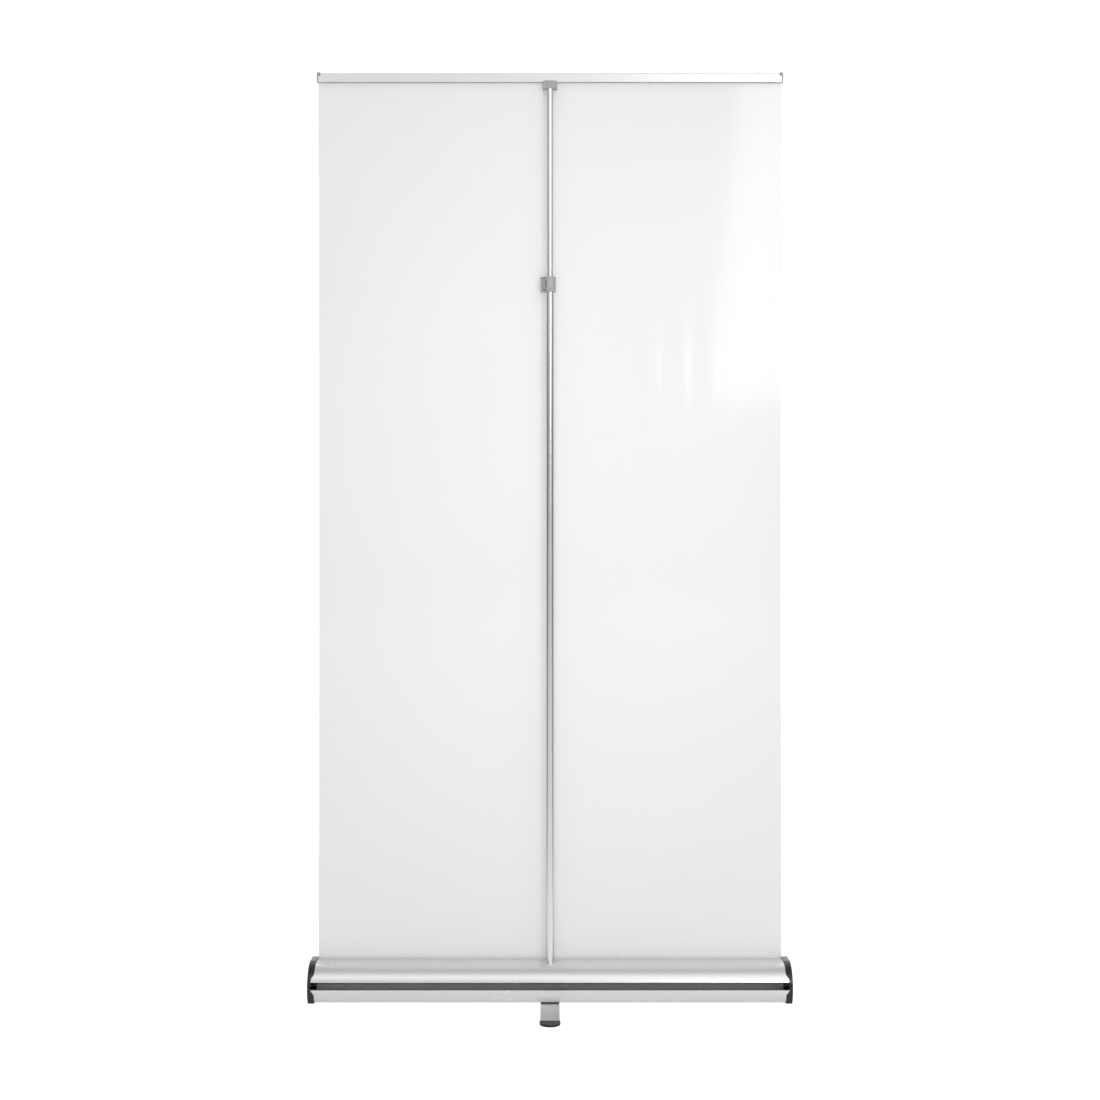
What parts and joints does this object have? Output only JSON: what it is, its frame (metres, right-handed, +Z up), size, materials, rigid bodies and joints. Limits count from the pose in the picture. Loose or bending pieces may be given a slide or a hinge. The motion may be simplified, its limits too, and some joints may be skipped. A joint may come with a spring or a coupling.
{
  "type": "roll-up banner stand",
  "caption": "Roll-up banner stand: blank film pulled from a spring-roller base, held up by a telescopic pole with a hooked clamp rail.",
  "frame": {"origin": "on the floor, under the middle of the base, on the axis that the foot turns on", "axes": "+X along the base to the end with the stub axle, +Y from the pole towards the film's printed side, +Z up"},
  "size_m": [1.028, 0.408, 1.996],
  "materials": {
    "anodised_aluminium": "satin",
    "black_abs": "glossy",
    "grey_plastic": "matte",
    "film_polyester": "glossy",
    "zinc_steel": "satin",
    "spring_steel": "satin",
    "black_rubber": "matte",
    "white_acetal": "satin",
    "elastic_braid": "matte",
    "brown_fibre": "matte"
  },
  "bodies": {
    "base": {"base_tray": "anodised_aluminium", "top_cover": "anodised_aluminium", "end_cap_left": "black_abs", "end_cap_right": "black_abs", "cap_screws_left": "zinc_steel", "cap_screws_right": "zinc_steel", "floor_pads_left": "black_rubber", "floor_pads_right": "black_rubber", "pole_socket": "black_abs", "socket_screws": "zinc_steel", "spring_shaft": "zinc_steel", "stub_axle": "zinc_steel", "spring_anchor": "black_abs", "roller_spring": "spring_steel", "film": "film_polyester", "lower_tube": "anodised_aluminium", "middle_tube": "anodised_aluminium", "tube_spigot": "anodised_aluminium", "cord_stop": "black_abs", "elastic_cord": "elastic_braid", "clamp_body": "grey_plastic", "clamp_pad": "brown_fibre", "lever_pin": "zinc_steel", "foot_bolt": "zinc_steel", "foot_washer": "white_acetal", "foot_nut": "zinc_steel"},
    "roller": {"roller_tube": "anodised_aluminium", "roller_plug_left": "black_abs", "roller_plug_right": "black_abs", "roller_bush_left": "white_acetal", "roller_bush_right": "white_acetal", "wound_film": "film_polyester"},
    "lever": {"clamp_lever": "grey_plastic"},
    "upper_pole": {"upper_tube": "anodised_aluminium", "upper_tube_bush": "black_abs", "pole_hook": "grey_plastic", "hook_pin": "zinc_steel"},
    "rail": {"rail_back": "anodised_aluminium", "rail_grip": "black_rubber", "rail_plug_left": "grey_plastic", "rail_plug_right": "grey_plastic"},
    "rail_jaw": {"rail_front": "anodised_aluminium"},
    "foot": {"foot_bar": "zinc_steel", "foot_shoe_rear": "black_rubber", "foot_shoe_front": "black_rubber"}
  },
  "joints": [
    {"name": "pole_telescope", "type": "slide", "parent": "base", "child": "upper_pole", "axis": [0, 0, 1], "range_m": [-0.4, 0], "deforming": ["film"]},
    {"name": "rail_unhook", "type": "slide", "parent": "upper_pole", "child": "rail", "axis": [0, 0, 1], "range_m": [0, 0.01]},
    {"name": "jaw_open", "type": "hinge", "parent": "rail", "child": "rail_jaw", "pos_m": [0, 0.0316, 1.9909], "axis": [1, 0, 0], "range_deg": [0, 60]},
    {"name": "lever_open", "type": "hinge", "parent": "base", "child": "lever", "pos_m": [-0.016, 0.008, 1.5355], "axis": [0, 0, -1], "range_deg": [0, 110]},
    {"name": "roller_spin", "type": "hinge", "parent": "base", "child": "roller", "pos_m": [0, 0.0135, 0.029], "axis": [1, 0, 0], "range_deg": [-1345, 0]},
    {"name": "foot_swivel", "type": "hinge", "parent": "base", "child": "foot", "pos_m": [0, 0, 0.00275], "axis": [0, 0, 1], "range_deg": [0, 90]}
  ],
  "couplings": [
    {"joint": "roller_spin", "follows": "pole_telescope", "rad_per_m": 58.6}
  ]
}
